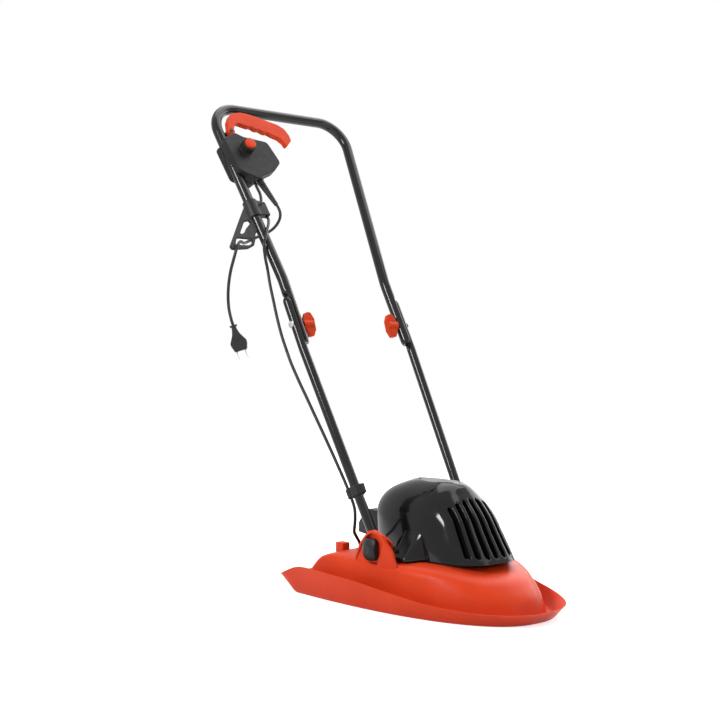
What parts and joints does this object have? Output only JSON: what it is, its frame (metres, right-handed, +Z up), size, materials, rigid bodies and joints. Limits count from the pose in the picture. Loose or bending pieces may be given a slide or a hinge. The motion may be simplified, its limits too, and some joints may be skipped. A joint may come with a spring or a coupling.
{
  "type": "electric hover mower",
  "caption": "Hover mower with a bullet-shaped deck, louvred motor cover, spinning blade and a folding tube handle with switch box, start lever, cable hook and mains lead.",
  "frame": {"origin": "on the ground under the blade spindle, in the plane of the hood's foot", "axes": "+X forward towards the nose, +Y to the user's left, +Z up along the spindle"},
  "size_m": [0.8691, 0.4643, 1.0733],
  "materials": {
    "hood": "satin orange-red moulding",
    "cover": "glossy black moulding",
    "dark_plastic": "matt dark grey moulding",
    "plate": "matt grey bare plate",
    "tube": "semi-gloss black paint",
    "steel": "bright plated steel",
    "blade": "ground steel",
    "copper": "enamelled copper",
    "cord": "smooth black sheath"
  },
  "bodies": {
    "deck": {"deck_hood": "hood", "motor_tray": "dark_plastic", "motor_cover": "cover", "badge_plate": "plate", "rear_pod": "dark_plastic", "cover_screw_fr": "steel", "cover_screw_fl": "steel", "cover_screw_rr": "steel", "cover_screw_rl": "steel", "motor_frame": "dark_plastic", "stator_core": "steel", "field_coil_a": "copper", "field_coil_b": "copper", "motor_end_cap": "dark_plastic", "bearing_low": "steel", "bearing_top": "steel", "brush_box_right": "dark_plastic", "brush_box_left": "dark_plastic", "brush_right": "dark_plastic", "brush_left": "dark_plastic", "terminal_block": "dark_plastic", "capacitor": "copper", "cable_grommet": "cord", "pivot_bolt_right": "steel", "pivot_bolt_left": "steel", "pivot_knob_right": "dark_plastic", "pivot_knob_left": "dark_plastic"},
    "rotor": {"spindle": "steel", "armature": "steel", "commutator": "copper", "lift_fan": "dark_plastic", "height_spacers": "dark_plastic", "cutting_blade": "blade", "blade_washer": "steel", "blade_nut": "steel"},
    "lower_handle": {"lower_tube_right": "tube", "lower_tube_left": "tube", "tube_foot_right": "dark_plastic", "tube_foot_left": "dark_plastic", "fold_bolt_right": "steel", "fold_bolt_left": "steel", "lower_clip": "dark_plastic", "cable_mid": "cord"},
    "upper_handle": {"upper_tube": "tube", "switch_front": "dark_plastic", "switch_rear": "dark_plastic", "micro_switch": "dark_plastic", "lever_pin": "steel", "button_spring": "steel", "strain_relief": "cord", "cable_hook": "dark_plastic", "cable_upper": "cord", "supply_lead": "cord", "plug_body": "cord", "plug_pin_a": "copper", "plug_pin_b": "copper"},
    "wing_knob_right": {"wing_knob_right": "hood"},
    "wing_knob_left": {"wing_knob_left": "hood"},
    "start_lever": {"start_lever": "hood"},
    "lock_button": {"lock_button": "hood"}
  },
  "joints": [
    {"name": "blade_spin", "type": "hinge", "parent": "deck", "child": "rotor", "pos_m": [0, 0, 0.1], "axis": [0, 0, 1], "continuous": true},
    {"name": "handle_tilt", "type": "hinge", "parent": "deck", "child": "lower_handle", "pos_m": [-0.06, 0, 0.115], "axis": [0, 1, 0], "range_deg": [-30, 40], "deforming": ["cable_mid"]},
    {"name": "handle_fold", "type": "hinge", "parent": "lower_handle", "child": "upper_handle", "pos_m": [-0.31007, 0, 0.56063], "axis": [0, 1, 0], "range_deg": [0, 140], "deforming": ["cable_upper", "cable_mid"]},
    {"name": "knob_turn_right", "type": "hinge", "parent": "lower_handle", "child": "wing_knob_right", "pos_m": [-0.31007, -0.125, 0.56063], "axis": [0, 1, 0], "continuous": true},
    {"name": "knob_turn_left", "type": "hinge", "parent": "lower_handle", "child": "wing_knob_left", "pos_m": [-0.31007, 0.125, 0.56063], "axis": [0, 1, 0], "continuous": true},
    {"name": "lever_squeeze", "type": "hinge", "parent": "upper_handle", "child": "start_lever", "pos_m": [-0.5437, -0.164, 0.99943], "axis": [0.8721, 0, 0.4894], "range_deg": [0, 7], "stiffness_Nm_per_rad": 2, "springref_deg": -8.59},
    {"name": "button_press", "type": "slide", "parent": "upper_handle", "child": "lock_button", "axis": [-0.8721, 0, -0.4894], "range_m": [0, 0.004], "stiffness_N_per_m": 500, "springref_m": -0.004, "deforming": ["button_spring"]}
  ]
}
